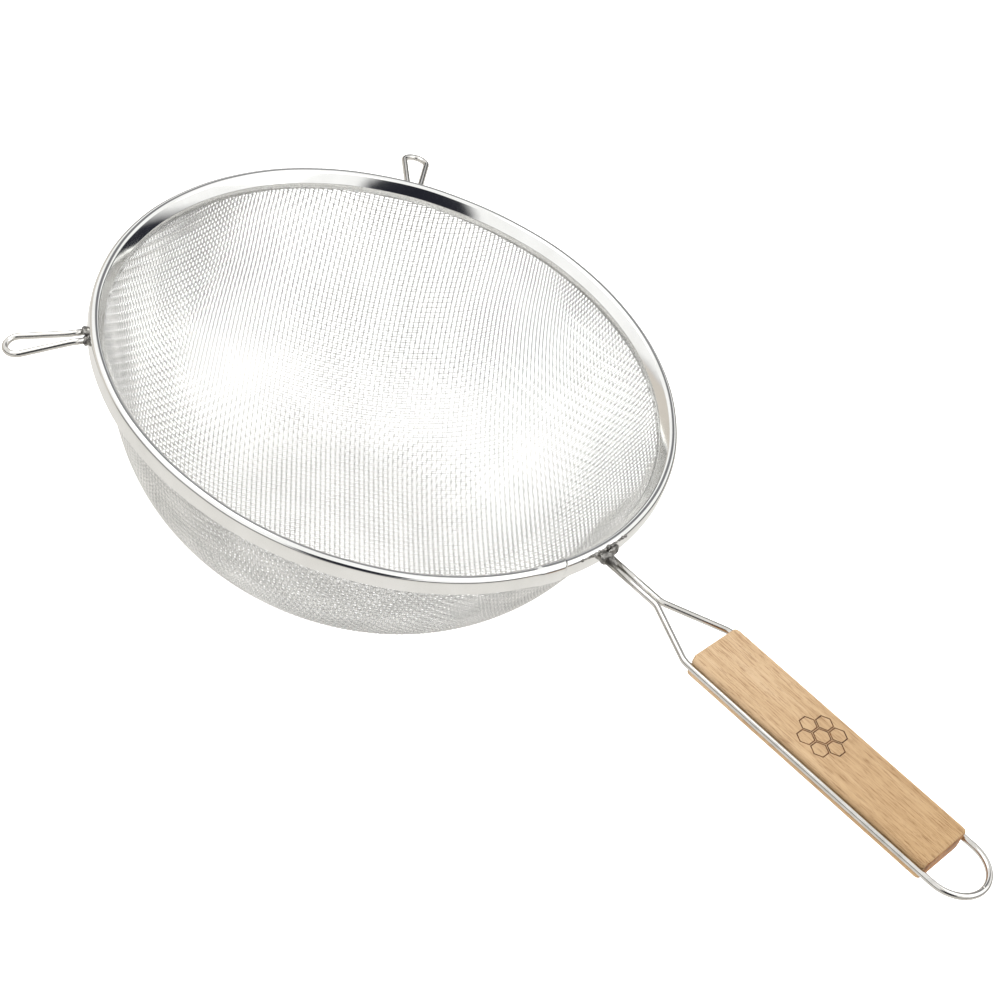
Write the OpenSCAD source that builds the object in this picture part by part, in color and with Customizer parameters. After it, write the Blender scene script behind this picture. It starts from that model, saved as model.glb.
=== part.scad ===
// Two-layer wire sieve: woven bowls in a folded sheet rim, with a wire handle, a wood grip and two rest ears.
// Millimetres. The origin is the centre of the flat the bowl stands on, +Z is up and the handle runs along +X.

/* [Bowl] */
// Outside radius of the rim
rim_r = 130; // [120:1:145]
// Height of the rim's top above the surface the bowl stands on
rim_h = 99; // [92:1:110]
// Lean of the bowl's wall from vertical, degrees
wall_lean = 21.5; // [18:0.5:25]
// Radius of the round between the wall and the flat bottom
corner_r = 82; // [70:1:88]
// Distance from the middle of the inner weave to the middle of the outer weave
layer_pitch = 1.3; // [1.2:0.1:2]
// Thickness drawn for each woven layer, half of the real weave
layer_t = 0.5; // [0.3:0.05:0.5]

/* [Rim] */
// Sheet thickness of the rim
sheet_t = 0.5; // [0.4:0.05:0.6]
// Outside radius of the rolled top edge
roll_r = 2.3; // [2.1:0.1:2.5]
// Height of the rim's outer wall, measured from the top of the roll
wall_h = 8; // [7:0.5:10]
// Diameter of the hoop wire inside the roll
hoop_d = 3.4; // [2.4:0.1:3.4]

/* [Handle] */
// Diameter of the handle wire
handle_d = 2.9; // [2.5:0.1:3]
// Distance from the bowl's centre to the fork of the two wires
fork_x = 161.5; // [150:0.5:170]
// Distance from the bowl's centre to the start of the grip
grip_x = 190.5; // [185:0.5:200]
// Length of the wood grip
grip_l = 123; // [90:1:140]
// Width of the wood grip
grip_w = 29; // [26:0.5:34]
// Thickness of the wood grip
grip_t = 10; // [8:0.5:14]
// Radius of the bend of the hanging loop, and half the spacing of the wires along the grip
loop_r = 15; // [14.8:0.1:15.4]

/* [Ears] */
// Diameter of the ear wire
ear_d = 2.9; // [2.4:0.1:3]
// How far an ear reaches out from the rim
ear_l = 36; // [28:1:45]
// Bend radius of an ear's rounded end
ear_r = 5.4; // [4:0.2:7]
// Position of the left ear round the rim, degrees from the handle
ear_left_at = 130.5; // [100:0.5:150]
// Position of the right ear round the rim, degrees from the handle
ear_right_at = 233.5; // [210:0.5:260]
// Droop of the left ear below horizontal, degrees
ear_left_droop = 11; // [0:1:20]
// Droop of the right ear below horizontal, degrees
ear_right_droop = 18; // [0:1:20]

/* [Hidden] */
$fn = 96;
fit_gap = 0.05;                           // clearance between pieces that lie against each other
weave_half = 0.5;                         // half the thickness of the real weave
foot_z = layer_pitch + weave_half;        // middle of the inner weave at the bowl's flat
wire_z = rim_h - 4.6;                     // height of the handle wire and of the ears' feet
crease = [rim_r - 6.9, rim_h - 4.6];      // fold between the rim's flange and its lip
roll_c = [rim_r - roll_r, rim_h - roll_r];
lip_lean = 14.6;                          // lean of the lip and of the weave behind it
lip_h = 2.8;                              // height of the lip
grip_end = grip_x + grip_l;
loop_x = grip_end + 5;                    // where the hanging loop starts to bend
bend_r = 6;                               // bend radius of the handle wire at the fork and the grip
arc_n = 36;                               // flats along the bowl's round
roll_n = 24;                              // flats along the roll

// ---- plane geometry ----

// Unit vector that leans a degrees outwards from straight up.
function lean(a) = [sin(a), cos(a)];

// Unit normal of the same line, pointing out of the bowl.
function out(a) = [cos(a), -sin(a)];

// Unit vector at a degrees from the first axis towards the second.
function turned(a) = [cos(a), sin(a)];

function cross2(a, b) = a.x * b.y - a.y * b.x;

// Where the line through p along u meets the line through q along v.
function meet(p, u, q, v) = p + u * cross2(q - p, v) / cross2(u, v);

function reversed(v) = [for (i = [len(v) - 1 : -1 : 0]) v[i]];

// ---- bowl ----

wall_p = [rim_r - 3.7, rim_h - 4];        // a point the wall's middle line runs through
arc_z = foot_z + corner_r;
arc_x = wall_p.x + (sin(wall_lean) * (arc_z - wall_p.y) - corner_r) / cos(wall_lean);
neck_p = crease + (sheet_t + fit_gap + weave_half) * out(lip_lean);

// Points of the wall's line moved d outwards: foot of the wall, bend below the lip, top edge.
function wall_foot(d) = [arc_x, arc_z] + (corner_r + d) * out(wall_lean);
function wall_bend(d) = meet(wall_foot(d), lean(wall_lean), neck_p + d * out(lip_lean), lean(lip_lean));
function wall_top(d) = meet(neck_p + d * out(lip_lean), lean(lip_lean), [0, rim_h - 5], [1, 0]);

// Half section of the bowl's surface moved d outwards, from its axis to its top edge.
function bowl_line(d) = concat(
    [[0, foot_z - d]],
    [for (i = [0 : arc_n]) [arc_x, arc_z] + (corner_r + d) * out(90 - i / arc_n * (90 - wall_lean))],
    [wall_bend(d), wall_top(d)]);

// One woven layer, from d outwards of the inner weave's middle.
module bowl_layer(d) {
    rotate_extrude($fn = 180) polygon(concat(bowl_line(d), reversed(bowl_line(d + layer_t))));
}

module inner_mesh() {
    color("silver") bowl_layer(-weave_half);
}

module outer_mesh() {
    color("gainsboro") bowl_layer(layer_pitch + weave_half - layer_t);
}

// ---- rim ----

roll_to = roll_c - crease;
flange_at = atan2(roll_to.y, roll_to.x) + asin(roll_r / norm(roll_to));
lip_end = crease - lip_h / cos(lip_lean) * lean(lip_lean);
hem = wall_top(layer_pitch + weave_half) + [-0.35, 3.5 - wall_h];

// Face of the sheet moved t into its thickness, from the hem over the roll to the end of the lip.
function sheet_line(t) = concat(
    [hem + [0, t], [rim_r - t, rim_h - wall_h + t]],
    [for (i = [0 : roll_n]) roll_c + (roll_r - t) * turned(i / roll_n * (flange_at + 90))],
    [meet(crease + t * turned(flange_at - 90), turned(flange_at), crease + t * out(lip_lean), lean(lip_lean)),
     lip_end + t * out(lip_lean)]);

module rim_section() {
    polygon(concat(sheet_line(0), reversed(sheet_line(sheet_t))));
}

module rim_band() {
    color("lightgrey") rotate_extrude($fn = 180) rim_section();
}

module rim_core_wire() {
    color("dimgrey") rotate_extrude($fn = 180) translate(roll_c) circle(d = hoop_d, $fn = 48);
}

// ---- wire ----

ball_d = 0.2;                             // how much thicker than the wire the balls at its joints are
stop = 0.35;                              // wires end this far inside the balls

// Straight wires of diameter d from point to point of pts in the XY plane, with a ball at each point but the first.
module wire_run(pts, d) {
    for (i = [1 : len(pts) - 1]) {
        way = pts[i] - pts[i - 1];
        from = i == 1 ? 0 : stop;
        translate(pts[i - 1]) rotate(atan2(way.y, way.x)) rotate([0, 90, 0])
            translate([0, 0, from]) cylinder(d = d, h = norm(way) - from - stop, $fn = 48);
        translate(pts[i]) rotate([0, 90, 0]) sphere(d = d + ball_d, $fn = 48);
    }
}

// Wire of diameter d bent to radius r round the origin, open towards -X, each end a degrees past the Y axis.
module wire_bow(r, d, a) {
    half = 90 + a - asin(stop / r);
    rotate(-half) rotate_extrude(angle = 2 * half, $fn = 144) translate([r, 0]) circle(d = d, $fn = 48);
}

// ---- handle ----

leg_y = handle_d / 2 + 3 * fit_gap;
leg_x = rim_r + fit_gap;

module handle_wire() {
    color("silver") translate([0, 0, wire_z]) {
        for (side = [-1, 1])
            wire_run([[leg_x, side * leg_y], [fork_x, side * leg_y], [grip_x - 2, side * loop_r],
                      [loop_x, side * loop_r]], handle_d);
        translate([loop_x, 0, 0]) wire_bow(loop_r, handle_d, 0);
    }
}

module wood_grip() {
    corner = 3;
    color("burlywood") difference() {
        translate([grip_x, 0, wire_z - grip_t / 2]) linear_extrude(grip_t) {
            translate([corner, -grip_w / 2]) square([grip_l - 2 * corner, grip_w]);
            translate([0, corner - grip_w / 2]) square([grip_l, grip_w - 2 * corner]);
            for (x = [corner, grip_l - corner], y = [-1, 1])
                translate([x, y * (grip_w / 2 - corner)]) circle(r = corner, $fn = 48);
        }
        // grooves that the wires lie in
        for (y = [-1, 1])
            translate([grip_x - 1, y * loop_r, wire_z]) rotate([0, 90, 0])
                cylinder(d = handle_d + 2 * fit_gap, h = grip_l + 2, $fn = 48);
    }
}

// Solder between the two wires and the rim, with a bead that runs along the rim's wall.
module handle_weld() {
    color("grey") difference() {
        union() {
            translate([rim_r - 1, 0, wire_z]) rotate([0, 90, 0]) cylinder(r1 = 4.6, r2 = 3.1, h = 6.5, $fn = 48);
            rotate(-6.5) rotate_extrude(angle = 13)
                translate([rim_r, wire_z]) circle(r = 1.7, $fn = 48);
        }
        translate([0, 0, wire_z - 10]) cylinder(r = rim_r + fit_gap, h = 20, $fn = 180);
        for (y = [-1, 1])
            translate([rim_r - 5, y * leg_y, wire_z]) rotate([0, 90, 0])
                cylinder(d = handle_d + 8 * fit_gap, h = 20, $fn = 48);
    }
}

// ---- ears ----

foot_x = 0.6;                             // gap between an ear wire's end and the rim, filled by the weld
drop_r = 3.1;                             // radius of each drop of weld
ear_c = [ear_l - ear_r - ear_d / 2, 0];   // centre of an ear's rounded end

// Moves an ear's own frame to its place on the rim.
module at_rim(at, droop) {
    rotate(at) translate([rim_r + fit_gap, 0, wire_z]) rotate([0, droop, 0]) children();
}

// Wire loop whose legs run side by side from +-foot_y to knee_x, then open round its end.
module ear(at, droop, foot_y, knee_x) {
    way = ear_c - [knee_x, foot_y];
    open = asin(ear_r / norm(way)) + atan2(way.y, way.x);
    color("silver") at_rim(at, droop) {
        for (side = [0, 1]) mirror([0, side, 0])
            wire_run([[foot_x, foot_y], [knee_x, foot_y], ear_c + ear_r * turned(90 + open)], ear_d);
        translate(ear_c) wire_bow(ear_r, ear_d, open);
    }
}

// Two drops of weld round the feet of an ear, clear of the wire itself.
module ear_weld(at, droop, foot_y) {
    color("grey") difference() {
        at_rim(at, droop) for (side = [-1, 1]) translate([foot_x, side * foot_y, 0])
            sphere(r = drop_r, $fn = 48);
        translate([0, 0, wire_z - 10]) cylinder(r = rim_r + fit_gap, h = 20, $fn = 180);
        at_rim(at, droop) for (side = [-1, 1]) translate([-5, side * foot_y, 0]) rotate([0, 90, 0])
            cylinder(d = ear_d + 2 * fit_gap, h = 12, $fn = 48);
    }
}

left_foot = 3.1;                          // half the spacing of each ear's wires at the rim
right_foot = 2.7;

module ear_left() { ear(ear_left_at, ear_left_droop, left_foot, 4); }
module ear_right() { ear(ear_right_at, ear_right_droop, right_foot, 8); }
module ear_weld_left() { ear_weld(ear_left_at, ear_left_droop, left_foot); }
module ear_weld_right() { ear_weld(ear_right_at, ear_right_droop, right_foot); }

rim_band();
rim_core_wire();
inner_mesh();
outer_mesh();
ear_left();
ear_right();
ear_weld_left();
ear_weld_right();
handle_wire();
handle_weld();
wood_grip();
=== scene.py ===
"""Looks of a double sieve strainer: two woven wire bowls, a folded steel rim, a wire handle and a wood grip.

Sizes are in millimetres and are turned into metres by MM where a mesh is made.
The frame is the CAD's: +Z up, the origin under the bowl's flat, the handle along +X.
"""

import logging
import math
from dataclasses import dataclass, field
from enum import Enum
from typing import Any

import bpy
import numpy as np
from mathutils import Matrix, Vector

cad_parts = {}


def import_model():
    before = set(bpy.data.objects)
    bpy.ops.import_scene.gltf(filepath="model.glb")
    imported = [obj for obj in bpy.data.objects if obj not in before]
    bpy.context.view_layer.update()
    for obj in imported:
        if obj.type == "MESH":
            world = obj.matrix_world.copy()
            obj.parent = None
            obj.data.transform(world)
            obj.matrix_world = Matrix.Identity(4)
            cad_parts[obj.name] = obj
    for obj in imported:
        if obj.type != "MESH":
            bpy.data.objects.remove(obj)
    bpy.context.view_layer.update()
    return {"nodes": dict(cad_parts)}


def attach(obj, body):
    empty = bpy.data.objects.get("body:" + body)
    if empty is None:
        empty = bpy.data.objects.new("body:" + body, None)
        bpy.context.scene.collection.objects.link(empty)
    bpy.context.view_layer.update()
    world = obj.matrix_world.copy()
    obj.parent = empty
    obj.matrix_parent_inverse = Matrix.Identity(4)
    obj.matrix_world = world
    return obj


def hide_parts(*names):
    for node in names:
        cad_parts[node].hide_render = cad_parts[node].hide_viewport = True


LOG = logging.getLogger("sieve")
MM = 0.001

# The rim's radius and height, the foot of its inner flange, and the height of the handle's and ears' wires.
RIM_R = 130.0
RIM_H = 99.0
FLANGE_R = RIM_R - 6.9
FLANGE_Z = RIM_H - 4.6
WIRE_Z = RIM_H - 4.6


# ---- colour and material nodes ----


def srgb(code: str) -> tuple[float, float, float, float]:
    """Turns an sRGB hex colour into linear RGBA.

    Args:
        code: Six hex digits, such as "DDBB8E".

    Returns:
        The linear colour with an alpha of 1.
    """
    parts = [int(code[i:i + 2], 16) / 255 for i in (0, 2, 4)]
    linear = [c / 12.92 if c <= 0.04045 else ((c + 0.055) / 1.055) ** 2.4 for c in parts]
    return (linear[0], linear[1], linear[2], 1.0)


def add_node(
    tree: bpy.types.NodeTree,
    kind: str,
    settings: dict[str | int, Any] | None = None,
    links: dict[str | int, bpy.types.NodeSocket] | None = None,
) -> bpy.types.Node:
    """Adds a node, sets its properties or unlinked inputs, and links its inputs.

    Args:
        tree: The node tree that the node goes in.
        kind: The node's type name.
        settings: Property or input names and the values they get.
        links: Input names or numbers and the output sockets that feed them.

    Returns:
        The new node.
    """
    node = tree.nodes.new(kind)
    for key, value in (settings or {}).items():
        if isinstance(key, str) and hasattr(node, key):
            setattr(node, key, value)
        else:
            node.inputs[key].default_value = value
    for key, socket in (links or {}).items():
        tree.links.new(socket, node.inputs[key])
    return node


def colour_ramp(
    tree: bpy.types.NodeTree, factor: bpy.types.NodeSocket, stops: list[tuple[float, str]]
) -> bpy.types.NodeSocket:
    """Adds a colour ramp with the given stops.

    Args:
        tree: The node tree.
        factor: The value that picks a colour.
        stops: Positions from 0 to 1 and their sRGB hex colours.

    Returns:
        The ramp's colour output.
    """
    ramp = add_node(tree, "ShaderNodeValToRGB", links={"Fac": factor})
    elements = ramp.color_ramp.elements
    while len(elements) < len(stops):
        elements.new(0.5)
    for element, (position, code) in zip(elements, stops):
        element.position = position
        element.color = srgb(code)
    return ramp.outputs["Color"]


def map_range(
    tree: bpy.types.NodeTree,
    value: bpy.types.NodeSocket,
    low: float,
    high: float,
    out: tuple[float, float],
) -> bpy.types.NodeSocket:
    """Maps a value from the range low to high on to the range out, with its ends clamped."""
    settings = {"From Min": low, "From Max": high, "To Min": out[0], "To Max": out[1]}
    return add_node(tree, "ShaderNodeMapRange", settings, {"Value": value}).outputs["Result"]


def cloud(
    tree: bpy.types.NodeTree,
    place: bpy.types.NodeSocket,
    size_mm: float,
    detail: float,
    settings: dict[str | int, Any] | None = None,
) -> bpy.types.NodeSocket:
    """Adds an uneven pattern whose coarsest patches are size_mm wide, with detail finer levels in them."""
    given = {"Scale": 1000 / size_mm, "Detail": detail} | (settings or {})
    return add_node(tree, "ShaderNodeTexNoise", given, {"Vector": place}).outputs["Fac"]


@dataclass(frozen=True)
class Finish:
    """What every finish has: a material name and a way to make that material."""

    name: str

    def shade(self, tree: bpy.types.NodeTree, shader: bpy.types.Node, place: bpy.types.NodeSocket) -> None:
        """Sets up the shader.

        Args:
            tree: The material's node tree.
            shader: Its Principled shader.
            place: Object coordinates in metres.
        """
        raise NotImplementedError

    def material(self) -> bpy.types.Material:
        """Makes the material, or returns the one made before.

        Returns:
            The material.
        """
        if self.name in bpy.data.materials:
            return bpy.data.materials[self.name]
        made = bpy.data.materials.new(self.name)
        made.use_nodes = True
        tree = made.node_tree
        place = add_node(tree, "ShaderNodeTexCoord").outputs["Object"]
        self.shade(tree, tree.nodes["Principled BSDF"], place)
        return made


@dataclass(frozen=True)
class Steel(Finish):
    """Bright or dull metal, with smudges in its roughness and colour and soft dents in its surface.

    The dents are dent_mm wide and dent millimetres deep, and grit is the grains' share of that depth.
    """

    light: str = "E6E6E4"
    dark: str = "C9C9C7"
    roughness: tuple[float, float] = (0.1, 0.22)
    smudge_mm: float = 9.0
    dent_mm: float = 14.0
    dent: float = 0.03
    grit: float = 0.0
    # A solder's grains are about 0.1 mm, too fine to show, so they are drawn six times as coarse.
    grain_mm: float = 0.625

    def shade(self, tree: bpy.types.NodeTree, shader: bpy.types.Node, place: bpy.types.NodeSocket) -> None:
        """Sets up the metal.

        Args:
            tree: The material's node tree.
            shader: Its Principled shader.
            place: Object coordinates in metres.
        """
        smudge = cloud(tree, place, self.smudge_mm, 5.0, {"Roughness": 0.6})
        colour = colour_ramp(tree, smudge, [(0.3, self.dark), (0.62, self.light)])
        rough = map_range(tree, smudge, 0.35, 0.7, (self.roughness[1], self.roughness[0]))
        dents = cloud(tree, place, self.dent_mm, 2.0)
        if self.grit:
            grains = cloud(tree, place, self.grain_mm, 3.0)
            fine = add_node(tree, "ShaderNodeMath", {"operation": "MULTIPLY", 1: self.grit}, {0: grains})
            dents = add_node(
                tree, "ShaderNodeMath", {"operation": "ADD"}, {0: dents, 1: fine.outputs[0]}
            ).outputs[0]
        bump = add_node(
            tree, "ShaderNodeBump", {"Strength": 1.0, "Distance": self.dent * MM}, {"Height": dents}
        )
        shader.inputs["Metallic"].default_value = 1.0
        tree.links.new(colour, shader.inputs["Base Color"])
        tree.links.new(rough, shader.inputs["Roughness"])
        tree.links.new(bump.outputs["Normal"], shader.inputs["Normal"])


@dataclass(frozen=True)
class DrawnWire(Finish):
    """Fine bright wire of the woven cloth: too thin for any pattern but a slow change of tone."""

    light: str = "F4F4F3"
    dark: str = "E9E9E8"
    roughness: float = 0.12
    tone_mm: float = 1000 / 45

    def shade(self, tree: bpy.types.NodeTree, shader: bpy.types.Node, place: bpy.types.NodeSocket) -> None:
        """Sets up the wire.

        Args:
            tree: The material's node tree.
            shader: Its Principled shader.
            place: Object coordinates in metres.
        """
        tone = cloud(tree, place, self.tone_mm, 2.0)
        colour = colour_ramp(tree, tone, [(0.35, self.dark), (0.65, self.light)])
        shader.inputs["Metallic"].default_value = 1.0
        shader.inputs["Roughness"].default_value = self.roughness
        tree.links.new(colour, shader.inputs["Base Color"])


class Cut(Enum):
    """Which way a wood surface was cut, with how much finer its pattern is along X, Y and Z."""

    ALONG = (1.0, 14.0, 14.0)
    END = (1.0, 1.0, 1.0)


@dataclass(frozen=True)
class Wood(Finish):
    """Bare sanded light wood with its grain along X, yellower towards the hanging loop.

    Cut along the grain, its bands are band_mm long and 2.75 mm wide.
    """

    cut: Cut = Cut.ALONG
    stops: tuple[tuple[float, str], ...] = ((0.25, "AC8E6A"), (0.5, "BFA27E"), (0.8, "CCB292"))
    pore: str = "84603C"
    # Darker and yellower towards the hanging loop: the colour is multiplied by this tint more and more along
    # X over the span on the next line.
    loop_tint: str = "ECE3D0"
    loop_tint_x: tuple[float, float] = (200.0, 310.0)
    band_mm: float = 1000 / 26
    # Real pores are about 0.2 mm wide, too fine to show, so these streaks are 9.1 mm long and 0.65 mm wide.
    pore_mm: float = 1000 / 110

    def shade(self, tree: bpy.types.NodeTree, shader: bpy.types.Node, place: bpy.types.NodeSocket) -> None:
        """Sets up the wood.

        Args:
            tree: The material's node tree.
            shader: Its Principled shader.
            place: Object coordinates in metres.
        """
        stretched = add_node(
            tree, "ShaderNodeMapping", {"Scale": self.cut.value}, {"Vector": place}
        ).outputs["Vector"]
        bands = cloud(tree, stretched, self.band_mm, 8.0, {"Roughness": 0.65, "Distortion": 0.25})
        fibre = cloud(tree, stretched, self.pore_mm, 5.0, {"Roughness": 0.75})
        base = colour_ramp(tree, bands, list(self.stops))
        pores = map_range(tree, fibre, 0.5, 0.64, (0.0, 0.8))
        streaked = add_node(
            tree, "ShaderNodeMix", {"data_type": "RGBA", 7: srgb(self.pore)}, {"Factor": pores, 6: base}
        )
        bump = add_node(
            tree, "ShaderNodeBump", {"Strength": 0.6, "Distance": 0.12 * MM}, {"Height": fibre}
        )
        # Multiplies in the tint along X, so the wood darkens and yellows towards the hanging loop.
        along = add_node(tree, "ShaderNodeSeparateXYZ", links={"Vector": place}).outputs["X"]
        start, end = (x * MM for x in self.loop_tint_x)
        loop_tint = add_node(
            tree, "ShaderNodeMix", {"data_type": "RGBA", "blend_type": "MULTIPLY", 7: srgb(self.loop_tint)},
            {"Factor": map_range(tree, along, start, end, (0, 1)), 6: streaked.outputs[2]},
        )
        tree.links.new(loop_tint.outputs[2], shader.inputs["Base Color"])
        tree.links.new(map_range(tree, fibre, 0.3, 0.7, (0.5, 0.68)), shader.inputs["Roughness"])
        tree.links.new(bump.outputs["Normal"], shader.inputs["Normal"])


@dataclass(frozen=True)
class Scorch(Finish):
    """Wood burnt dark brown by a hot iron, uneven in depth."""

    char_mm: float = 1000 / 700

    def shade(self, tree: bpy.types.NodeTree, shader: bpy.types.Node, place: bpy.types.NodeSocket) -> None:
        """Sets up the burnt wood.

        Args:
            tree: The material's node tree.
            shader: Its Principled shader.
            place: Object coordinates in metres.
        """
        char = cloud(tree, place, self.char_mm, 4.0)
        colour = colour_ramp(tree, char, [(0.35, "3A2010"), (0.7, "6E4626")])
        shader.inputs["Roughness"].default_value = 0.8
        tree.links.new(colour, shader.inputs["Base Color"])


@dataclass(frozen=True)
class Paper(Finish):
    """White sheet with faint slow clouds that emits a little painted light of its own, which pales its shadow
    and lights the bowl a little from below.
    """

    painted_glow: float = 0.55
    cloud_mm: float = 1000 / 3

    def shade(self, tree: bpy.types.NodeTree, shader: bpy.types.Node, place: bpy.types.NodeSocket) -> None:
        """Sets up the paper.

        Args:
            tree: The material's node tree.
            shader: Its Principled shader.
            place: Object coordinates in metres.
        """
        pulp = cloud(tree, place, self.cloud_mm, 2.0)
        colour = colour_ramp(tree, pulp, [(0.3, "F8F8F8"), (0.7, "FCFCFC")])
        shader.inputs["Roughness"].default_value = 1.0
        shader.inputs["Specular IOR Level"].default_value = 0.0
        # Painted light: the paper emits, so its shadow pales and the bowl is lit a little from below.
        shader.inputs["Emission Color"].default_value = (1.0, 1.0, 1.0, 1.0)
        shader.inputs["Emission Strength"].default_value = self.painted_glow
        tree.links.new(colour, shader.inputs["Base Color"])


# Cold-rolled strip, bent but not polished again: near a mirror, with shallow waves that bend its streaks.
RIM_STEEL = Steel("rolled stainless sheet", "ECECEA", "E4E4E1", (0.06, 0.11), 25.0, 16.0, 0.05)
# Drawn steel wire plated after it was bent: a sharp bright line down each wire, a shade warmer than the band.
PLATED_WIRE = Steel("bright plated wire", "DAD8D4", "C2C0BA", (0.07, 0.14), 9.0, 9.0, 0.02)
# Wire as it was drawn, with no polish: dull and grey. It lies hidden inside the rim's rolled edge.
HOOP_STEEL = Steel("drawn hoop wire", "C0C0BE", "8C8C8A", (0.3, 0.45))
# Solder left as it froze: the darkest metal here, lumpy, with small glints among matt grains.
SOLDER = Steel("soft solder", "9C9A96", "4C4A48", (0.18, 0.4), 3.0, 1.6, 0.5, 0.25)
# Bright-drawn stainless wire: each wire is a thin white line with darker edges, so the cloth looks light.
CLOTH_INNER = DrawnWire("inner woven wire")
# The same wire with a duller skin: softer lines, so that the lower bowl looks a little greyer.
CLOTH_OUTER = DrawnWire("outer woven wire", "F2F2F0", "E6E6E4", 0.25)
# Light wood sanded along its grain and left bare: matt, with thin dark pores along the handle.
GRIP_WOOD = Wood("sanded grip wood")
# The same wood sawn across, where open fibres drink light: darker and redder, with no streaks.
GRIP_END = Wood(
    "sawn end grain", Cut.END, ((0.25, "94622F"), (0.5, "AD7A42"), (0.8, "BF905A")), "74481F"
)
# Wood charred by a hot iron: dark brown and matt, a little lighter where the iron pressed less.
MARK = Scorch("scorched wood")
# Uncoated paper, matt and white with no gloss; its painted emission leaves only a soft shadow.
STUDIO_PAPER = Paper("studio paper")


# ---- mesh making ----


def build_mesh(name: str, points: np.ndarray, faces: list[np.ndarray], finish: Finish) -> bpy.types.Object:
    """Makes a smooth-shaded mesh object from arrays.

    Args:
        name: The object's name.
        points: Vertices in millimetres, one row each.
        faces: Arrays of vertex numbers, each with its own number of corners a face.
        finish: What the object is made of.

    Returns:
        The new object, in the scene.
    """
    faces = [f for f in faces if len(f)]
    corners = np.concatenate([f.ravel() for f in faces]).astype(np.int32)
    totals = np.concatenate([np.full(len(f), f.shape[1], np.int32) for f in faces])
    starts = np.concatenate([[0], np.cumsum(totals)[:-1]]).astype(np.int32)
    mesh = bpy.data.meshes.new(name)
    mesh.vertices.add(len(points))
    mesh.vertices.foreach_set("co", (np.asarray(points) * MM).astype(np.float32).ravel())
    mesh.loops.add(len(corners))
    mesh.loops.foreach_set("vertex_index", corners)
    mesh.polygons.add(len(totals))
    mesh.polygons.foreach_set("loop_start", starts)
    mesh.polygons.foreach_set("loop_total", totals)
    mesh.polygons.foreach_set("use_smooth", np.ones(len(totals), bool))
    mesh.update(calc_edges=True)
    mesh.validate()
    mesh.materials.append(finish.material())
    made = bpy.data.objects.new(name, mesh)
    bpy.context.scene.collection.objects.link(made)
    return made


def ring_quads(rings: int, sides: int, first: int = 0) -> np.ndarray:
    """Joins rings of points, each with the next, by quads.

    Args:
        rings: Number of rings.
        sides: Points in each ring.
        first: Number of the first ring's first point.

    Returns:
        Four vertex numbers a row.
    """
    base = first + np.arange(rings - 1)[:, None] * sides
    now, after = np.arange(sides)[None], (np.arange(sides)[None] + 1) % sides
    quads = np.stack([base + now, base + sides + now, base + sides + after, base + after], -1)
    return quads.reshape(-1, 4)


def ring_caps(rings: int, sides: int, first: int = 0) -> np.ndarray:
    """Closes the first and the last ring of a stack that ring_quads joins, by one face each."""
    ring = first + np.arange(sides)
    return np.stack([ring, (rings - 1) * sides + ring[::-1]])


def unit(v: np.ndarray) -> np.ndarray:
    """Scales the vectors along the last axis to length 1."""
    return v / np.maximum(np.linalg.norm(v, axis=-1, keepdims=True), 1e-12)


def fillet(points: list[tuple[float, float]], radii: list[float], step: float = 6.0) -> np.ndarray:
    """Rounds the corners of a plane path.

    Args:
        points: The path's corners.
        radii: The bend radius at each, 0 for a sharp one.
        step: Degrees of turn between points on a bend.

    Returns:
        The path's points, two numbers each.
    """
    corners = [np.array(p, float) for p in points]
    path = [corners[0]]
    for before, at, after, radius in zip(corners, corners[1:], corners[2:], radii[1:]):
        u, v = unit(at - before), unit(after - at)
        turn = math.atan2(u[0] * v[1] - u[1] * v[0], u @ v)
        if radius == 0 or abs(turn) < 1e-6:
            path.append(at)
            continue
        side = math.copysign(1.0, turn)
        start = at - u * radius * math.tan(abs(turn) / 2)
        centre = start + side * radius * np.array([-u[1], u[0]])
        count = max(2, math.ceil(math.degrees(abs(turn)) / step))
        for k in range(count + 1):
            a = turn * k / count
            spoke = start - centre
            path.append(centre + np.array([
                spoke[0] * math.cos(a) - spoke[1] * math.sin(a),
                spoke[0] * math.sin(a) + spoke[1] * math.cos(a),
            ]))
    path.append(corners[-1])
    return np.array(path)


@dataclass
class Tubes:
    """Round wires collected into one mesh."""

    sides: int
    points: list[np.ndarray] = field(default_factory=list)
    quads: list[np.ndarray] = field(default_factory=list)
    caps: list[np.ndarray] = field(default_factory=list)
    count: int = 0

    def add(self, path: np.ndarray, radius: float | np.ndarray, up: np.ndarray) -> None:
        """Adds one closed-ended wire.

        Args:
            path: Points of its centre line.
            radius: Its radius, or one for each point.
            up: A direction across the wire, for all points or for each.
        """
        along = unit(np.gradient(path, axis=0))
        side = unit(np.cross(along, np.broadcast_to(up, path.shape)))
        top = np.cross(side, along)
        angles = np.arange(self.sides) * 2 * math.pi / self.sides
        reach = np.broadcast_to(np.asarray(radius, float), (len(path),))[:, None, None]
        rings = path[:, None] + reach * (
            np.cos(angles)[None, :, None] * side[:, None] + np.sin(angles)[None, :, None] * top[:, None]
        )
        self.quads.append(ring_quads(len(path), self.sides, self.count))
        self.caps.append(ring_caps(len(path), self.sides, self.count))
        self.points.append(rings.reshape(-1, 3))
        self.count += len(path) * self.sides

    def mesh(self, name: str, finish: Finish) -> bpy.types.Object:
        """Makes the mesh object of all the wires added so far."""
        faces = [np.concatenate(self.quads), np.concatenate(self.caps)]
        return build_mesh(name, np.concatenate(self.points), faces, finish)


# ---- bowl ----


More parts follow.
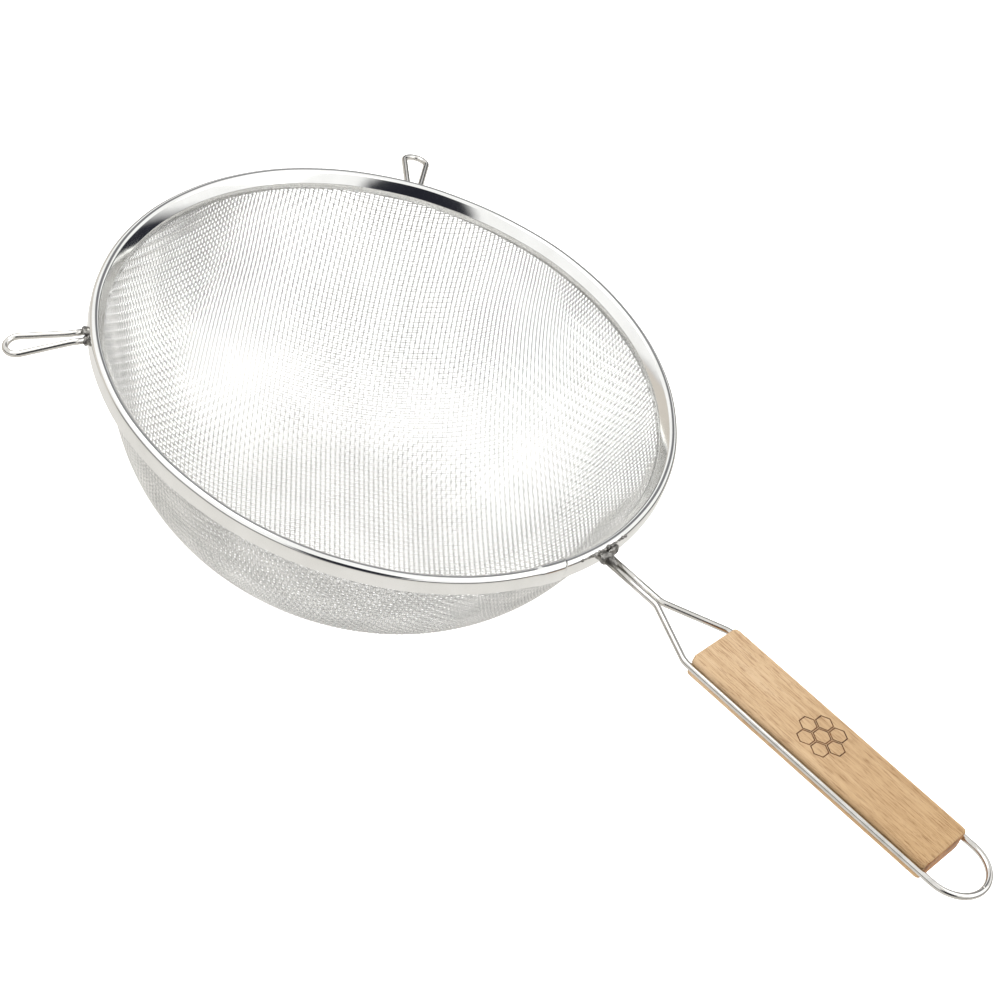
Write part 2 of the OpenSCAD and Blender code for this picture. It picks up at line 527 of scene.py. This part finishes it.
@dataclass(frozen=True)
class BowlSurface:
    """The middle surface of a woven layer: flat bottom, round, straight wall and a steeper neck.

    The inner layer lies skin above the ground at the bottom and neck_skin outside the rim's flange. Its
    wall passes through wall_r at the height wall_z. Another layer lies offset further out everywhere.
    """

    offset: float
    lean: float = math.radians(21.5)
    neck_lean: float = math.radians(14.6)
    corner: float = 82.0
    skin: float = 1.8
    neck_skin: float = 1.05
    neck_length: float = 60.0
    wall_r: float = RIM_R - 3.7
    wall_z: float = RIM_H - 4.0
    top: float = RIM_H - 5.2

    @property
    def radius(self) -> float:
        """Radius of the round."""
        return self.corner + self.offset

    @property
    def centre(self) -> np.ndarray:
        """Centre of the round in the half plane of radius and height."""
        z = self.skin + self.corner
        r = self.wall_r + (math.sin(self.lean) * (z - self.wall_z) - self.corner) / math.cos(self.lean)
        return np.array([r, z])

    @staticmethod
    def outwards(lean: float) -> np.ndarray:
        """Gives the outward normal of a wall that leans from vertical, in the half plane."""
        return np.array([math.cos(lean), -math.sin(lean)])

    @property
    def foot(self) -> np.ndarray:
        """Where the wall starts above the round."""
        return self.centre + self.radius * self.outwards(self.lean)

    @property
    def bend(self) -> np.ndarray:
        """Where the wall meets the neck."""
        neck = np.array([FLANGE_R, FLANGE_Z]) + (self.neck_skin + self.offset) * self.outwards(self.neck_lean)
        n = np.array([self.outwards(self.lean), self.outwards(self.neck_lean)])
        return np.linalg.solve(n, [n[0] @ self.foot, n[1] @ neck])

    def nearest(self, p: np.ndarray) -> tuple[np.ndarray, np.ndarray]:
        """Finds the surface points nearest to the given ones.

        Args:
            p: Points in space, one row each.

        Returns:
            The nearest points and the outward normals there.
        """
        r = np.hypot(p[:, 0], p[:, 1])
        q = np.stack([r, p[:, 2]], -1)
        c = self.centre
        flat = np.stack([np.clip(r, 0, c[0]), np.full(len(r), c[1] - self.radius)], -1)
        a = np.clip(np.arctan2(q[:, 0] - c[0], c[1] - q[:, 1]), 0, math.pi / 2 - self.lean)
        spoke = np.stack([np.sin(a), -np.cos(a)], -1)
        found, normal = [flat, c + self.radius * spoke], [np.tile([0.0, -1.0], (len(r), 1)), spoke]
        for start, lean, limit in (
            (self.foot, self.lean, np.linalg.norm(self.bend - self.foot)),
            (self.bend, self.neck_lean, self.neck_length),
        ):
            way = np.array([math.sin(lean), math.cos(lean)])
            t = np.clip((q - start) @ way, 0, limit)
            found.append(start + t[:, None] * way)
            normal.append(np.tile(self.outwards(lean), (len(r), 1)))
        every = np.stack(found)
        best = np.argmin(((every - q) ** 2).sum(-1), axis=0)
        pick = np.arange(len(r))
        on, n = every[best, pick], np.stack(normal)[best, pick]
        spin = p[:, :2] / np.maximum(r, 1e-9)[:, None]
        return np.c_[spin * on[:, :1], on[:, 1]], np.c_[spin * n[:, :1], n[:, 1]]

    def meridian(self, distance: np.ndarray, heading: float) -> np.ndarray:
        """Walks from the middle of the bottom straight up the wall.

        Args:
            distance: How far to walk along the surface.
            heading: The way from above, in radians.

        Returns:
            The points reached.
        """
        c = self.centre
        turn = math.pi / 2 - self.lean
        arc = self.radius * turn
        wall = np.linalg.norm(self.bend - self.foot)
        a = np.clip((distance - c[0]) / self.radius, 0, turn)
        up = np.clip(distance - c[0] - arc, 0, wall)
        over = np.clip(distance - c[0] - arc - wall, 0, None)
        r = np.minimum(distance, c[0]) + self.radius * np.sin(a)
        r = r + up * math.sin(self.lean) + over * math.sin(self.neck_lean)
        z = c[1] - self.radius * np.cos(a) + up * math.cos(self.lean) + over * math.cos(self.neck_lean)
        return np.stack([r * math.cos(heading), r * math.sin(heading), z], -1)


@dataclass
class WovenLayer:
    """One bowl of plain-woven wire, pressed from flat cloth, so its cells keep their sides and shear.

    Its first wires head the way of heading, in degrees. The cloth reaches half_cloth from the bowl's
    middle and is laid up to spare above the rim, and its wires are then cut at the surface's top.
    """

    name: str
    node: str
    slot: str
    surface: BowlSurface
    finish: Finish
    heading: float = 46.3
    pitch: tuple[float, float] = (2.3, 2.5)
    half_cloth: float = 186.0
    spare: float = 6.0
    wire_d: float = 0.5
    sides: int = 6
    parts: int = 2

    def crossings(self) -> np.ndarray:
        """Places the points where wires cross.

        Returns:
            An array of points by row and column, not a number beyond the rim.
        """
        n = tuple(math.ceil(self.half_cloth / p) for p in self.pitch)
        grid = np.full((2 * n[0] + 1, 2 * n[1] + 1, 3), np.nan)
        base = math.radians(self.heading)
        for su in (1, -1):
            for sv in (1, -1):
                block = self._quadrant(n, base + (0 if su > 0 else math.pi), base + sv * math.pi / 2)
                grid[n[0]::su, n[1]::sv][: n[0] + 1, : n[1] + 1] = block
        return grid

    def _quadrant(self, n: tuple[int, int], head_u: float, head_v: float) -> np.ndarray:
        """Spreads one quarter of the cloth over the surface, cell by cell from the middle out.

        Args:
            n: Number of cells each way.
            head_u: Heading of the first edge.
            head_v: Heading of the second edge.

        Returns:
            The crossings of that quarter.
        """
        a, b = self.pitch
        brim = RIM_H + self.spare
        block = np.full((n[0] + 1, n[1] + 1, 3), np.nan)
        block[:, 0] = self.surface.meridian(np.arange(n[0] + 1) * a, head_u)
        block[0, :] = self.surface.meridian(np.arange(n[1] + 1) * b, head_v)
        block[:, 0][block[:, 0, 2] > brim] = np.nan
        block[0, :][block[0, :, 2] > brim] = np.nan
        for k in range(2, n[0] + n[1] + 1):
            i = np.arange(max(1, k - n[1]), min(n[0], k - 1) + 1)
            j = k - i
            from_u, from_v, corner = block[i - 1, j], block[i, j - 1], block[i - 1, j - 1]
            live = ~np.isnan(from_u[:, 0] + from_v[:, 0] + corner[:, 0])
            if not live.any():
                continue
            i, j, from_u, from_v, corner = i[live], j[live], from_u[live], from_v[live], corner[live]
            p, normal = self.surface.nearest(from_u + from_v - corner)
            for _ in range(6):
                to_u, to_v = p - from_u, p - from_v
                far_u, far_v = np.linalg.norm(to_u, axis=1), np.linalg.norm(to_v, axis=1)
                rows = np.stack([to_u / far_u[:, None], to_v / far_v[:, None], normal], 1)
                want = np.stack([a - far_u, b - far_v, np.zeros(len(p))], -1)
                step = np.linalg.solve(rows + 1e-9 * np.eye(3), want[..., None])[..., 0]
                p, normal = self.surface.nearest(p + np.clip(step, -1.5, 1.5))
            p[p[:, 2] > brim] = np.nan
            block[i, j] = p
        return block

    def wires(self, grid: np.ndarray, sign: int) -> list[tuple[np.ndarray, np.ndarray]]:
        """Draws the wires that run along the first axis of grid, over and under the others.

        Args:
            grid: Crossings by row and column.
            sign: 1 or -1, which of the two families starts on top.

        Returns:
            A centre line and its outward normals for each wire.
        """
        made = []
        for column in range(grid.shape[1]):
            low = grid[:, column, 2] < self.surface.top + self.spare / 2
            row = np.flatnonzero(~np.isnan(grid[:, column, 0]) & low)
            if len(row) < 3:
                continue
            row = np.arange(row[0], row[-1] + 1)
            knots = grid[row, column]
            if np.isnan(knots).any():
                continue
            height = sign * self.wire_d / 2 * (1 - 2 * ((row + column) % 2))
            path = np.empty((2 * len(knots) - 1, 3))
            path[::2], path[1::2] = knots, (knots[1:] + knots[:-1]) / 2
            lift = np.zeros(len(path))
            lift[::2] = height
            on, normal = self.surface.nearest(path)
            path = on + normal * lift[:, None]
            inside = np.flatnonzero(path[:, 2] < self.surface.top)
            if len(inside) > 2:
                keep = slice(inside[0], inside[-1] + 1)
                made.append((path[keep], normal[keep]))
        return made

    def build(self) -> list[bpy.types.Object]:
        """Weaves the layer.

        Returns:
            Its pieces, each a share of one family of wires.
        """
        grid = self.crossings()
        across = grid.transpose(1, 0, 2)
        families = (("warp", self.wires(grid, 1)), ("weft", self.wires(across, -1)))
        pieces = []
        for family, wires in families:
            share = math.ceil(len(wires) / self.parts)
            for part in range(self.parts):
                tubes = Tubes(self.sides)
                for path, normal in wires[part * share:(part + 1) * share]:
                    tubes.add(path, self.wire_d / 2, normal)
                pieces.append(tubes.mesh(f"{self.name}_{family}_{part + 1}", self.finish))
        return pieces

    def dress(self, pieces: list[bpy.types.Object]) -> None:
        """Puts the layer in place of its CAD node.

        Args:
            pieces: What build made.
        """
        for piece in pieces:
            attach(piece, "root")
            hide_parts(self.node)


# ---- rim ----


@dataclass
class Rim:
    """The sheet band folded over the cloths' edges, with its ends lapped.

    seam is where it starts, lap how far its end passes its start, ramp how far the end takes to climb over
    the start, and skew how much its ends lean, over cut from each end, all in degrees round the rim.
    """

    seam: float = -15.0
    lap: float = 5.0
    ramp: float = 1.5
    skew: float = 1.6
    cut: float = 3.0
    sheet: float = 0.5
    raise_by: float = 0.55
    segments: int = 732

    def section(self) -> tuple[np.ndarray, np.ndarray]:
        """Gives the sheet's two faces, from the hem over the roll to the lip.

        Returns:
            The outer face's points and the inner face's, in radius and height.
        """
        corners = [(RIM_R - 4.5, RIM_H - 9.5), (RIM_R, RIM_H - 8.0), (RIM_R, RIM_H + 4.6),
                   (FLANGE_R, FLANGE_Z), (RIM_R - 7.63, RIM_H - 7.4)]
        face = fillet(corners, [0, 0.7, 2.3, 0.8, 0], 7.5)
        way = unit(np.gradient(face, axis=0))
        back = face + self.sheet * np.stack([-way[:, 1], way[:, 0]], -1)
        return face, back

    def build(self) -> bpy.types.Object:
        """Bends the band round the bowl.

        Returns:
            The band.
        """
        face, back = self.section()
        loop = np.concatenate([face, back[::-1]])
        n, k = self.segments, len(loop)
        sweep = np.linspace(0, 360 + self.lap, n)
        rise = np.clip((sweep - 360 + self.ramp) / self.ramp, 0, 1)
        rise = self.raise_by * rise * rise * (3 - 2 * rise)
        centre = np.array([RIM_R - 2.3, RIM_H - 2.3])
        spread = unit(loop - centre)
        share = np.linspace(-0.5, 0.5, len(face))
        slant = self.skew * np.concatenate([share, share[::-1]])
        to_end = 360 + self.lap - sweep
        ends = np.maximum(1 - sweep / self.cut, 0) + np.maximum(1 - to_end / self.cut, 0)
        angle = np.radians(self.seam + sweep[:, None] + ends[:, None] * slant[None])
        wave = 0.10 * np.sin(5 * angle + 0.6) + 0.07 * np.sin(11 * angle + 2.0) + 0.04 * np.sin(23 * angle)
        r = loop[None, :, 0] + rise[:, None] * spread[None, :, 0] + wave
        z = loop[None, :, 1] + rise[:, None] * spread[None, :, 1] + 0.5 * wave * np.cos(3 * angle)
        points = np.stack([r * np.cos(angle), r * np.sin(angle), z], -1).reshape(-1, 3)
        half = np.arange(len(face) - 1)
        end = np.stack([half, half + 1, k - 2 - half, k - 1 - half], -1)
        faces = [ring_quads(n, k), end, (n - 1) * k + end[:, ::-1]]
        return build_mesh("rim_sheet", points, faces, RIM_STEEL)

    def dress(self, piece: bpy.types.Object) -> None:
        """Puts the band in place of its CAD node.

        Args:
            piece: What build made.
        """
        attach(piece, "root")
        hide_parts("rim_band")


# ---- wire work ----


@dataclass
class HandleWire:
    """One wire: two legs from the rim, a fork, the sides of the grip and the hanging loop.

    The legs start bite inside the rim's radius, with gap between them. They reach the grip's width just
    before it, by the length spare, and the loop's round starts neck beyond it.
    """

    wire_d: float = 2.9
    gap: float = 0.12
    bite: float = 0.4
    fork_x: float = 161.5
    bend_r: float = 8.0
    grip_x: float = 190.5
    grip_l: float = 123.0
    spare: float = 2.0
    neck: float = 5.0
    loop_r: float = 15.0

    def build(self) -> bpy.types.Object:
        """Bends the wire.

        Returns:
            The wire.
        """
        y, out = (self.wire_d + self.gap) / 2, self.loop_r
        tip = self.grip_x + self.grip_l + self.neck + out
        half = [(RIM_R - self.bite, y), (self.fork_x, y), (self.grip_x - self.spare, out)]
        corners = half + [(tip, out), (tip, -out)] + [(a, -b) for a, b in half[::-1]]
        bends = [0, self.bend_r, self.bend_r, out]
        path = fillet(corners, bends + bends[::-1], 4)
        tubes = Tubes(28)
        tubes.add(np.c_[path, np.full(len(path), WIRE_Z)], self.wire_d / 2, np.array([0.0, 0.0, 1.0]))
        return tubes.mesh("handle_bent_wire", PLATED_WIRE)

    def dress(self, piece: bpy.types.Object) -> None:
        """Puts the wire in place of its CAD node.

        Args:
            piece: What build made.
        """
        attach(piece, "root")
        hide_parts("handle_wire")


@dataclass
class Ear:
    """A bent wire loop on the rim that rests on a pail, with a drop of weld on each foot.

    It lies at degrees round the rim and droops by droop degrees. Its legs start bite inside the rim's
    radius and foot_y off its middle line, turn in at knee_x and run into a bow. Its tip is length outside.
    """

    side: str
    at: float
    droop: float
    foot_y: float
    knee_x: float
    length: float = 36.0
    bite: float = 0.6
    knee_r: float = 14.0
    bow_r: float = 5.4
    wire_d: float = 2.9

    def place(self, local: np.ndarray) -> np.ndarray:
        """Moves points from the ear's own frame to its place on the rim.

        Args:
            local: Points outwards, sideways and up.

        Returns:
            The points in the part's frame.
        """
        turn = Matrix.Rotation(math.radians(self.at), 3, "Z")
        tilt = Matrix.Rotation(math.radians(self.droop), 3, "Y")
        tilted = local @ np.array(tilt).T + [RIM_R, 0, WIRE_Z]
        return tilted @ np.array(turn).T

    def build(self) -> list[bpy.types.Object]:
        """Bends the wire and drops the weld.

        Returns:
            The loop and its weld.
        """
        centre = self.length - self.bow_r - self.wire_d / 2
        way = np.array([centre - self.knee_x, -self.foot_y])
        opening = math.asin(self.bow_r / np.linalg.norm(way)) + math.atan2(way[1], way[0])
        sweep = np.radians(np.linspace(90, -90, 40)) + np.linspace(opening, -opening, 40)
        bow = np.stack([centre + self.bow_r * np.cos(sweep), self.bow_r * np.sin(sweep)], -1)
        corners = [(-self.bite, self.foot_y), (self.knee_x, self.foot_y), tuple(bow[0])]
        leg = fillet(corners, [0, self.knee_r, 0], 2)
        path = np.concatenate([leg[:-1], bow, (leg * [1, -1])[::-1][1:]])
        tubes = Tubes(24)
        upright = self.place(np.array([[0.0, 0.0, 1.0], [0.0, 0.0, 0.0]]))
        tubes.add(self.place(np.c_[path, np.zeros(len(path))]), self.wire_d / 2, upright[0] - upright[1])
        loop = tubes.mesh(f"ear_wire_{self.side}", PLATED_WIRE)
        drops = []
        for side in (-1, 1):
            foot = self.place(np.array([[0.6, side * self.foot_y, 0.0]]))[0]
            drops.append(Lump(foot, (2.1, 2.2, 2.2), 0.5, 31 * side + 5))
        weld = blobs(f"ear_drops_{self.side}", drops, math.radians(self.at))
        return [loop, weld]

    def dress(self, pieces: list[bpy.types.Object]) -> None:
        """Puts the loop and its weld in place of their CAD nodes.

        Args:
            pieces: What build made.
        """
        for piece, slot, node in zip(pieces, ("wire_steel", "solder"), ("ear", "ear_weld")):
            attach(piece, "root")
            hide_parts(f"{node}_{self.side}")


@dataclass(frozen=True)
class Lump:
    """One rounded drop of metal: centre, half sizes, unevenness and a number that picks its shape."""

    centre: np.ndarray
    half: tuple[float, float, float]
    rough: float
    seed: int


def blobs(name: str, lumps: list[Lump], heading: float) -> bpy.types.Object:
    """Makes uneven drops of metal as one mesh.

    Args:
        name: The object's name.
        lumps: The drops.
        heading: The way their first half size points, from above, in radians.

    Returns:
        The new object.
    """
    rows, cols = 22, 32
    down = np.linspace(0.001, math.pi - 0.001, rows)
    round_it = np.arange(cols) * 2 * math.pi / cols
    v, u = np.meshgrid(down, round_it, indexing="ij")
    ball = np.stack([np.sin(v) * np.cos(u), np.sin(v) * np.sin(u), np.cos(v)], -1)
    turn = np.array([[math.cos(heading), -math.sin(heading), 0],
                     [math.sin(heading), math.cos(heading), 0], [0, 0, 1]])
    points, quads, caps = [], [], []
    for number, lump in enumerate(lumps):
        rng = np.random.default_rng(abs(lump.seed) + 7)
        swell = np.ones_like(v)
        for _ in range(7):
            pull = rng.normal(size=3) * 2.2
            swell += lump.rough / 5 * np.sin(ball @ pull + rng.uniform(0, 6.28))
        shape = ball * swell[..., None] * np.array(lump.half)
        points.append((shape @ turn.T + lump.centre).reshape(-1, 3))
        quads.append(ring_quads(rows, cols, number * rows * cols))
        caps.append(ring_caps(rows, cols, number * rows * cols))
    faces = [np.concatenate(quads), np.concatenate(caps)]
    return build_mesh(name, np.concatenate(points), faces, SOLDER)


@dataclass
class HandleWeld:
    """The solder that holds the handle's legs to the rim: lumps, and beads that ran along the rim.

    The beads lie from the first to the last angle of run, in degrees from the handle.
    """

    run: tuple[float, float] = (-6.2, 5.8)
    beads: int = 15
    bead_r: float = 0.95

    def build(self) -> bpy.types.Object:
        """Shapes the solder.

        Returns:
            The solder.
        """
        lumps = [
            Lump(np.array([RIM_R + 1.4, 0.0, WIRE_Z + 0.2]), (3.0, 3.9, 2.7), 0.3, 3),
            Lump(np.array([RIM_R + 4.0, 0.0, WIRE_Z + 0.5]), (3.2, 2.3, 1.3), 0.4, 11),
            Lump(np.array([RIM_R + 0.7, 4.4, WIRE_Z + 0.9]), (1.9, 4.6, 2.5), 0.35, 17),
        ]
        for k, turn in enumerate(np.linspace(*self.run, self.beads)):
            a = math.radians(turn)
            size = self.bead_r - 0.05 * abs(turn) + 0.15 * math.sin(5.0 * k)
            at = np.array([(RIM_R - 0.4) * math.cos(a), (RIM_R - 0.4) * math.sin(a), RIM_H - 1.1])
            lumps.append(Lump(at, (size, size * 1.2, size), 0.35, 20 + k))
        return blobs("handle_solder", lumps, 0.0)

    def dress(self, piece: bpy.types.Object) -> None:
        """Puts the solder in place of its CAD node.

        Args:
            piece: What build made.
        """
        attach(piece, "root")
        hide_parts("handle_weld")


# ---- grip ----


@dataclass
class Grip:
    """A wood block with a groove for the wire along each side and softened edges.

    edge and corner are the radii of its long edges and of its corners seen from above. What faces the ends
    within end_depth of them is end grain. Its mark is a group of six-sided cells round mark_x, cell_step
    times as far apart as if they touched. Their strokes are as wide as line, and they reach sunk into the
    wood and stand proud of it.
    """

    start: float = 190.5
    length: float = 123.0
    width: float = 29.0
    thickness: float = 10.0
    groove_y: float = 15.0
    groove_r: float = 1.5
    edge: float = 0.9
    corner: float = 2.2
    end_depth: float = 1.5
    mark_x: float = 58.0
    cell: float = 4.1
    cell_step: float = 1.04
    line: float = 0.6
    sunk: float = 0.3
    proud: float = 0.03

    def outline(self) -> np.ndarray:
        """Gives the block's cross-section, with its two grooves.

        Returns:
            Points across and up, round the section.
        """
        w, t = self.width / 2, self.thickness / 2
        reach = math.acos((self.groove_y - w) / self.groove_r)
        a = np.linspace(0, math.pi / 2, 7)
        b = np.linspace(-reach, reach, 13)
        low = np.stack([w - self.edge + self.edge * np.sin(a), -t + self.edge - self.edge * np.cos(a)], -1)
        groove = np.stack([self.groove_y - self.groove_r * np.cos(b), self.groove_r * np.sin(b)], -1)
        high = np.stack([w - self.edge + self.edge * np.cos(a), t - self.edge + self.edge * np.sin(a)], -1)
        right = np.concatenate([low, groove, high])
        return np.concatenate([right, (right * [-1, 1])[::-1]])

    @staticmethod
    def pulled_in(radius: float, near: float) -> float:
        """Gives how far a round of this radius pulls the surface in, at the distance near from the end."""
        return radius - math.sqrt(max(radius ** 2 - (radius - min(near, radius)) ** 2, 0))

    def build(self) -> list[bpy.types.Object]:
        """Cuts the block and burns the mark in it.

        Returns:
            The block and the mark.
        """
        ring = self.outline()
        k = len(ring)
        stations = [0.0, 0.15, 0.45, 0.9, 1.4, self.corner]
        stations += list(np.linspace(self.corner + 2, self.length - self.corner - 2, 30))
        stations += [self.length - s for s in stations[5::-1]]
        rows = []
        for x in stations:
            near = min(x, self.length - x)
            aside, down = self.pulled_in(self.corner, near), 0.7 * self.pulled_in(self.edge, near)
            shaped = ring * [1 - aside / (self.width / 2), 1 - down / (self.thickness / 2)]
            rows.append(np.c_[np.full(k, self.start + x), shaped[:, 0], shaped[:, 1] + WIRE_Z])
        sides = ring_quads(len(rows), k)[:, [0, 3, 2, 1]]
        caps = ring_caps(len(rows), k)[:, ::-1]
        block = build_mesh("grip_block", np.concatenate(rows), [sides, caps], GRIP_WOOD)
        block.data.materials.append(GRIP_END.material())
        middle, reach = self.start + self.length / 2, self.length / 2 - self.end_depth
        for face in block.data.polygons:
            sawn = abs(face.normal.x) > 0.75 and abs(face.center.x / MM - middle) > reach
            face.material_index = int(sawn)
        return [block, self.mark()]

    def mark(self) -> bpy.types.Object:
        """Burns a plain group of honeycomb cells in the block's top.

        Returns:
            The mark.
        """
        spots = [(0, 0), (1, 0), (-1, 0), (0.5, 1), (-0.5, 1), (0.5, -1), (-0.5, -1)]
        top = WIRE_Z + self.thickness / 2
        low, high, inner = top - self.sunk, top + self.proud, self.cell - self.line
        rings = ((self.cell, low), (self.cell, high), (inner, high), (inner, low))
        step = self.cell * self.cell_step
        points, quads = [], []
        for a, b in spots:
            x0 = self.start + self.mark_x + a * step * math.sqrt(3)
            y0 = b * step * 1.5
            first = len(points)
            for radius, z in rings:
                for s in range(6):
                    turn = math.radians(30 + 60 * s)
                    points.append((x0 + radius * math.cos(turn), y0 + radius * math.sin(turn), z))
            for ring in range(4):
                here, there = first + ring * 6, first + (ring + 1) % 4 * 6
                for s in range(6):
                    quads.append((here + s, here + (s + 1) % 6, there + (s + 1) % 6, there + s))
        made = build_mesh("grip_mark", np.array(points), [np.array(quads)], MARK)
        made.data.polygons.foreach_set("use_smooth", np.zeros(len(quads), bool))
        return made

    def dress(self, pieces: list[bpy.types.Object]) -> None:
        """Puts the block and its mark in place of the CAD node.

        Args:
            pieces: What build made.
        """
        for piece in pieces:
            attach(piece, "root")
            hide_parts("wood_grip")


# ---- studio ----


@dataclass
class Camera:
    """A camera that looks down at the bowl, rolled so that the handle lies at the lower right."""

    azimuth: float = 28.78
    elevation: float = 41.81
    roll: float = 21.69
    distance: float = 1033.3
    aside: float = 46.32
    above: float = -61.42
    lens: float = 86.4

    def build(self) -> bpy.types.Object:
        """Places the camera.

        Returns:
            The camera, set as the scene's.
        """
        a, e, r = (math.radians(v) for v in (self.azimuth, self.elevation, self.roll))
        towards = Vector((math.sin(a) * math.cos(e), -math.cos(a) * math.cos(e), math.sin(e)))
        right = Vector((math.cos(a), math.sin(a), 0))
        up = towards.cross(right)
        x_axis = right * math.cos(r) + up * math.sin(r)
        y_axis = -right * math.sin(r) + up * math.cos(r)
        place = towards * self.distance + x_axis * self.aside + y_axis * self.above
        matrix = Matrix((x_axis, y_axis, towards)).transposed().to_4x4()
        matrix.translation = (place + Vector((0, 0, RIM_H))) * MM
        data = bpy.data.cameras.new("camera")
        data.lens = self.lens
        data.sensor_width = 36.0
        made = bpy.data.objects.new("camera", data)
        made.matrix_world = matrix
        bpy.context.scene.collection.objects.link(made)
        bpy.context.scene.camera = made
        return made


@dataclass(frozen=True)
class Patch:
    """A soft round patch of the room's walls: where it lies, its two edges as cosines, its colour."""

    way: tuple[float, float, float]
    outer: float
    inner: float
    colour: str
    blend: str = "MIX"


@dataclass(frozen=True)
class Lamp:
    """A square soft lamp: its place, its side in metres, its power, and whether metal reflects it."""

    name: str
    place: tuple[float, float, float]
    side: float
    watts: float
    mirrored: bool

    def hang(self, towards: Vector) -> None:
        """Hangs the lamp.

        Args:
            towards: The point that it lights, in millimetres.
        """
        data = bpy.data.lights.new(self.name, "AREA")
        data.size = self.side
        data.energy = self.watts
        made = bpy.data.objects.new(self.name, data)
        made.visible_glossy = self.mirrored
        made.location = Vector(self.place) * MM
        made.rotation_euler = (towards - Vector(self.place)).to_track_quat("-Z", "Y").to_euler()
        bpy.context.scene.collection.objects.link(made)


# What the metal reflects: a warm curtain to the left, a grey gap behind and a dark doorway at the handle.
CURTAIN = Patch((-0.99, -0.1, 0.05), 0.82, 0.93, "D2CBC2", "LIGHTEN")
GAP = Patch((-0.40, 0.70, 0.58), 0.93, 0.97, "7C7C7F")
DOORWAY = Patch((0.59, -0.633, 0.5), 0.925, 0.955, "23242C")

# The room from straight down to straight up: warm grey, a dark band at eye level, then white.
WALLS = [
    (0.0, "ECEAE7"), (0.46, "D6D3CE"), (0.49, "23242C"), (0.57, "2A2B33"), (0.64, "FFFFFF"), (1.0, "FFFFFF"),
]

LAMPS = (
    Lamp("key", (-700, -300, 1500), 1.1, 9.0, True),
    Lamp("fill", (900, 500, 1300), 1.4, 6.0, True),
    Lamp("front", (-300, -1000, 900), 1.1, 5.0, False),
)


@dataclass
class Studio:
    """White paper floor, soft lamps, and a white room that is dark in places for the metal to reflect."""

    patches: tuple[Patch, ...] = (CURTAIN, GAP, DOORWAY)
    lamps: tuple[Lamp, ...] = LAMPS
    aim: tuple[float, float, float] = (80.0, 0.0, 60.0)
    half_floor: float = 6000.0
    brightness: float = 1.15

    def build(self) -> list[bpy.types.Object]:
        """Builds the floor, the lamps and the room's light.

        Returns:
            The staged objects.
        """
        corners = self.half_floor * np.array([(-1, -1, 0), (1, -1, 0), (1, 1, 0), (-1, 1, 0)])
        floor = build_mesh("floor", corners, [np.array([[0, 1, 2, 3]])], STUDIO_PAPER)
        floor.visible_glossy = False
        for lamp in self.lamps:
            lamp.hang(Vector(self.aim))
        self._room()
        scene = bpy.context.scene
        scene.view_settings.view_transform = "Standard"
        scene.view_settings.look = "None"
        return [floor]

    def _room(self) -> None:
        """Lights the room by its walls and patches, which the camera itself sees as plain white."""
        world = bpy.data.worlds.new("room")
        world.use_nodes = True
        tree = world.node_tree
        way = add_node(tree, "ShaderNodeTexCoord").outputs["Generated"]
        axes = add_node(tree, "ShaderNodeSeparateXYZ", links={"Vector": way}).outputs
        walls = colour_ramp(tree, map_range(tree, axes["Z"], -1.0, 1.0, (0, 1)), WALLS)
        for patch in self.patches:
            facing = add_node(
                tree, "ShaderNodeVectorMath", {"operation": "DOT_PRODUCT", 1: patch.way}, {0: way}
            ).outputs["Value"]
            settings = {"data_type": "RGBA", "blend_type": patch.blend, 7: srgb(patch.colour)}
            inside = map_range(tree, facing, patch.outer, patch.inner, (0, 1))
            mixed = add_node(tree, "ShaderNodeMix", settings, {"Factor": inside, 6: walls})
            walls = mixed.outputs[2]
        seen = add_node(tree, "ShaderNodeLightPath").outputs["Is Camera Ray"]
        shade = add_node(
            tree, "ShaderNodeMix", {"data_type": "RGBA", 7: srgb("FFFFFF")}, {"Factor": seen, 6: walls}
        )
        background = tree.nodes["Background"]
        tree.links.new(shade.outputs[2], background.inputs["Color"])
        background.inputs["Strength"].default_value = self.brightness
        bpy.context.scene.world = world

    def dress(self, pieces: list[bpy.types.Object]) -> None:
        """Leaves the floor that build made as it is."""


def main() -> None:
    """Builds every piece in order and reports it."""
    logging.basicConfig(level=logging.INFO, format="%(message)s")
    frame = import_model()
    hoop = frame["nodes"]["rim_core_wire"].data.materials
    hoop.clear()
    hoop.append(HOOP_STEEL.material())
    parts = [
        Camera(),
        Studio(),
        WovenLayer("inner_cloth", "inner_mesh", "mesh_inner_steel", BowlSurface(0.0), CLOTH_INNER),
        WovenLayer("outer_cloth", "outer_mesh", "mesh_outer_steel", BowlSurface(1.3), CLOTH_OUTER),
        Rim(),
        HandleWire(),
        HandleWeld(),
        Ear("left", 130.5, 11.0, 3.1, 4.0),
        Ear("right", 233.5, 18.0, 2.7, 8.0),
        Grip(),
    ]
    for part in parts:
        made = part.build()
        if hasattr(part, "dress"):
            part.dress(made)
        for piece in made if isinstance(made, list) else [made]:
            faces = len(piece.data.polygons) if piece.type == "MESH" else 0
            LOG.info("%s: %s, %d faces", type(part).__name__, piece.name, faces)


if __name__ == "__main__":
    main()
